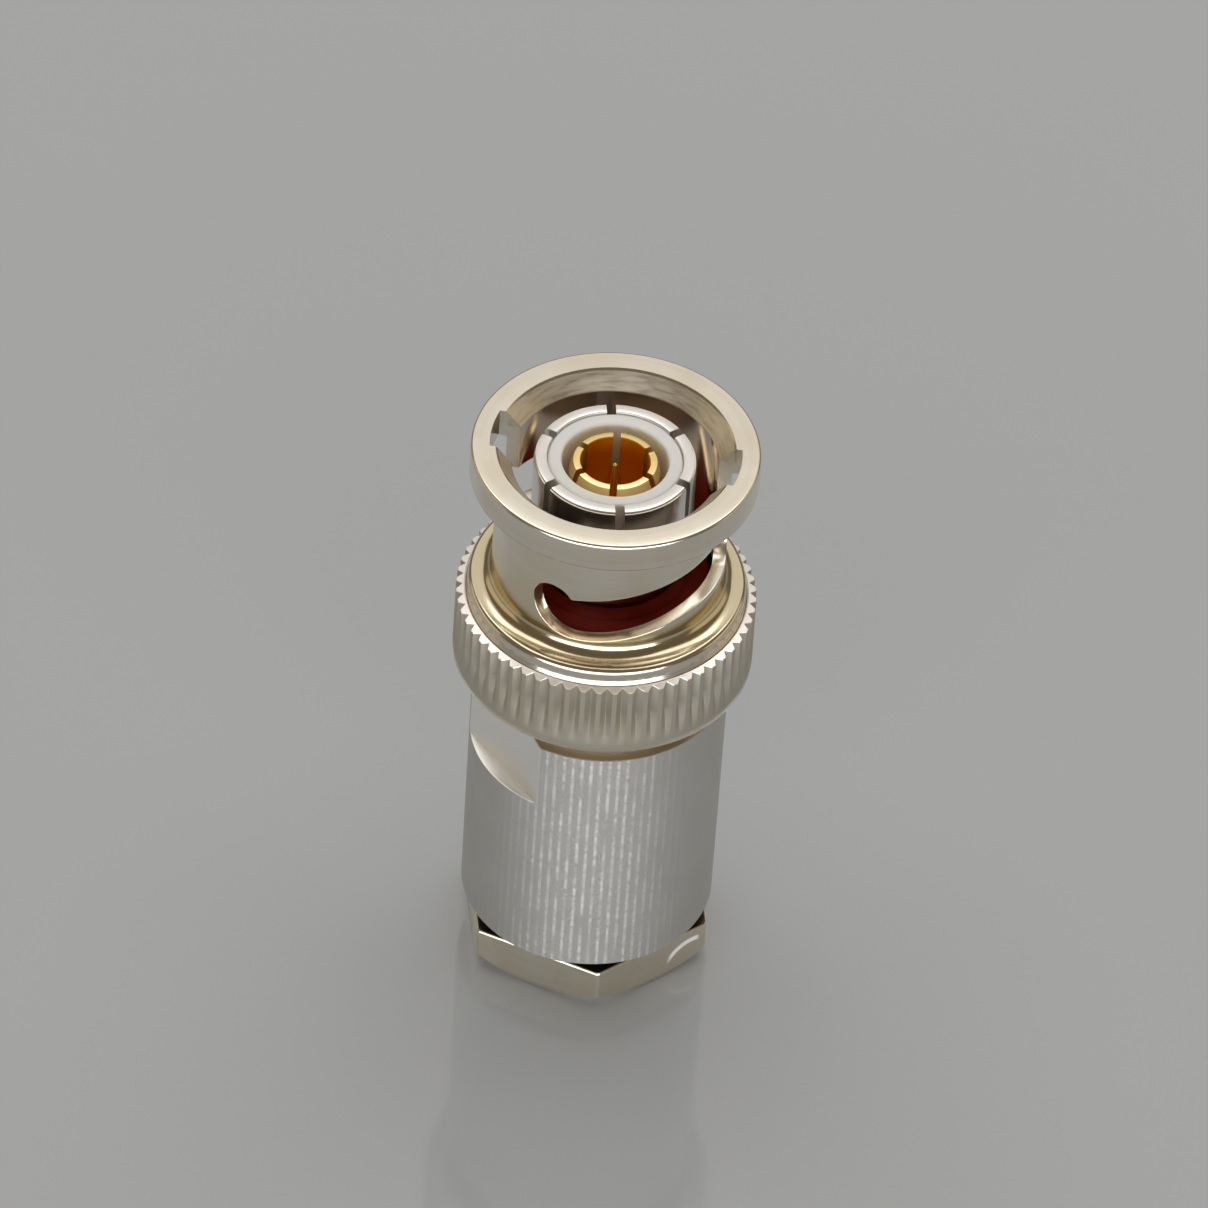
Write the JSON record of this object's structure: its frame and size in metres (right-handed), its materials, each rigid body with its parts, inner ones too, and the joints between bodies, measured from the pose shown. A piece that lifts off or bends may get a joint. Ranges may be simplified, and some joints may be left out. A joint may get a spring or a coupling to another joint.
{
  "type": "triaxial bayonet cable plug",
  "caption": "Triaxial bayonet plug for a cable: knurled coupling ring with cam slots, slotted contacts in white insulators, and a round body closed by a hexagon clamp nut.",
  "frame": {"origin": "centre of the clamp nut's rear face, on the floor that the plug stands on", "axes": "+Z along the plug's axis towards its mouth; the camera of the picture looks along +Y and down, so +X is to its right"},
  "size_m": [0.0152, 0.0152, 0.0328],
  "materials": {
    "bright_nickel": "bright nickel plating on brass, slightly warm",
    "satin_nickel": "satin nickel plating on turned brass",
    "gold_plate": "gold plating",
    "white_insulator": "white fluoropolymer, waxy",
    "red_silicone": "red silicone rubber",
    "black_rubber": "black rubber",
    "spring_steel": "spring steel"
  },
  "bodies": {
    "shell": {"body_shell": "satin_nickel", "outer_contact": "bright_nickel", "sealing_gasket": "red_silicone", "outer_insulator": "white_insulator", "inner_contact": "gold_plate", "inner_insulator": "white_insulator", "center_pin": "gold_plate", "pin_bead": "white_insulator", "rear_insulator": "white_insulator", "inner_braid_clamp": "satin_nickel", "inner_ferrule": "satin_nickel", "outer_braid_clamp": "satin_nickel", "cable_gasket": "black_rubber", "front_washer": "spring_steel", "coupling_spring": "spring_steel"},
    "spring_seat": {"thrust_washer": "spring_steel"},
    "coupling": {"coupling_ring": "bright_nickel", "retaining_ring": "spring_steel"},
    "clamp_slide": {"slip_washer": "spring_steel"},
    "clamp": {"clamp_nut": "satin_nickel"}
  },
  "joints": [
    {"name": "coupling_slide", "type": "slide", "parent": "shell", "child": "spring_seat", "axis": [0, 0, 1], "range_m": [0, 0.0009], "stiffness_N_per_m": 3000, "deforming": ["coupling_spring"]},
    {"name": "coupling_turn", "type": "hinge", "parent": "spring_seat", "child": "coupling", "pos_m": [0, 0, 0.0255], "axis": [0, 0, 1], "continuous": true},
    {"name": "clamp_turn", "type": "hinge", "parent": "clamp", "child": "clamp_slide", "pos_m": [0, 0, 0.008], "axis": [0, 0, 1], "range_deg": [0, 2160]},
    {"name": "clamp_travel", "type": "slide", "parent": "clamp_slide", "child": "shell", "axis": [0, 0, 1], "range_m": [0, 0.0046]}
  ],
  "couplings": [
    {"joint": "clamp_travel", "follows": "clamp_turn", "m_per_rad": 0.00011937}
  ]
}
